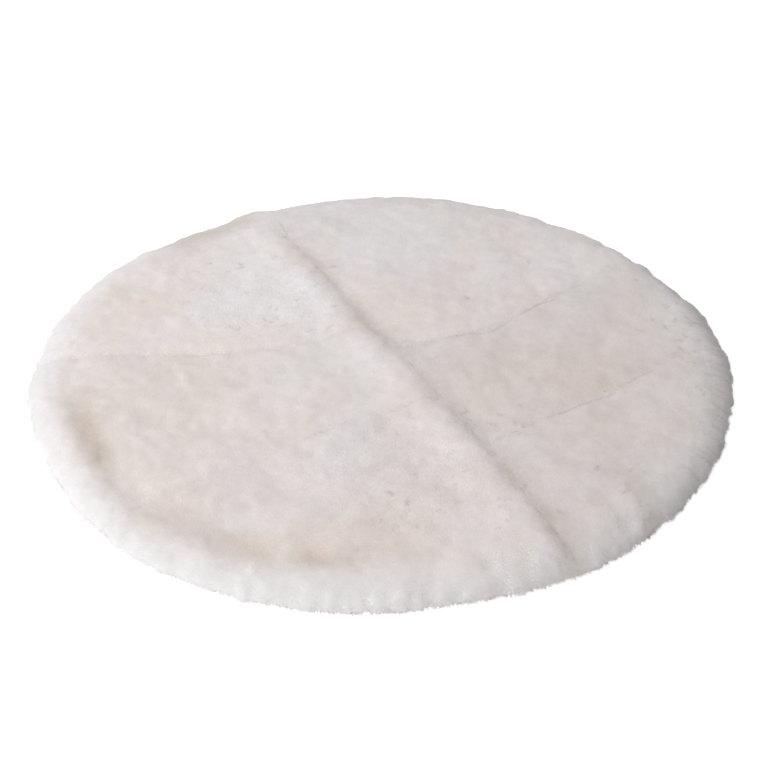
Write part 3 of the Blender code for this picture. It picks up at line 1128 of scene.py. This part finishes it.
def soft_light():
    """A bright, even studio with large soft lights on the left."""
    world = bpy.data.worlds.new("white studio")
    world.use_nodes = True
    back = world.node_tree.nodes["Background"]
    back.inputs["Color"].default_value = STUDIO_WHITE
    path = node(world.node_tree, "ShaderNodeLightPath", "what is seen")
    seen = maths(world.node_tree, "MULTIPLY", path.outputs["Is Camera Ray"], STUDIO_SEEN)
    strength = maths(world.node_tree, "ADD", seen, STUDIO_FILL)
    world.node_tree.links.new(strength, back.inputs["Strength"])
    bpy.context.scene.world = world
    ceiling = bpy.data.lights.new("bright ceiling", "SUN")
    ceiling.angle = CEILING_ANGLE
    ceiling.energy = CEILING_STRENGTH
    ceiling.color = STUDIO_WHITE[:3]
    ceiling.cycles.use_multiple_importance_sampling = False
    bpy.context.scene.collection.objects.link(bpy.data.objects.new("bright ceiling", ceiling))
    for name, place, size, power in SOFTBOXES:
        softbox = bpy.data.lights.new(name, "AREA")
        softbox.shape = "SQUARE"
        softbox.size = size
        softbox.energy = power
        softbox.color = SOFTBOX_WHITE
        softbox.cycles.use_multiple_importance_sampling = False
        hung = bpy.data.objects.new(name, softbox)
        hung.location = place
        hung.rotation_mode = "QUATERNION"
        hung.rotation_quaternion = (-place).to_track_quat("-Z", "Y")
        bpy.context.scene.collection.objects.link(hung)


def camera():
    lens = bpy.data.cameras.new("camera")
    lens.lens = LENS
    lens.sensor_width = SENSOR
    made = bpy.data.objects.new("camera", lens)
    made.location = EYE
    made.rotation_mode = "QUATERNION"
    made.rotation_quaternion = SIGHT.to_track_quat("-Z", "Y")
    bpy.context.scene.collection.objects.link(made)
    bpy.context.scene.camera = made


# ---------------------------------------------------------------- the rug


def dress_panels():
    clouds, nap = clouds_effect(), nap_effect()
    ivory = wool_effect(clouds)
    wool = wool_material("packed wool", ivory, nap)
    tips = wool_material("wool tips", ivory)
    suede = suede_material(clouds, nap)
    sewing = placed("seam_stitches", stitches(), thread_material(clouds, nap))
    fleece = Fleece(whole_fleece())
    for number, panel in enumerate(PANELS):
        chance = np.random.default_rng(number + 1)
        body = placed(f"wool_{panel}", panel_body(panel, fleece), wool)
        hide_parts(f"panel_{panel}")
        pieces = [
            body,
            placed(f"tufts_{panel}", top_tufts(fleece, panel, chance), tips),
            placed(f"rim_locks_{panel}", rim_locks(fleece, panel, chance), tips),
            placed(f"fibres_{panel}", loose_fibres(fleece, panel, chance), tips),
        ]
        for piece in pieces[1:]:
            # Wool scatters light so well that single tufts don't darken each other, or themselves.
            piece.visible_shadow = False
            piece.visible_diffuse = False
            piece.shadow_terminator_geometry_offset = 0.0
        mesh, area = skin_mesh(panel)
        skin = placed(f"skin_{panel}", mesh, suede)


def main():
    camera()
    floor = pale_floor()
    soft_light()
    dress_panels()
    bpy.context.scene.view_settings.view_transform = "Standard"


main()
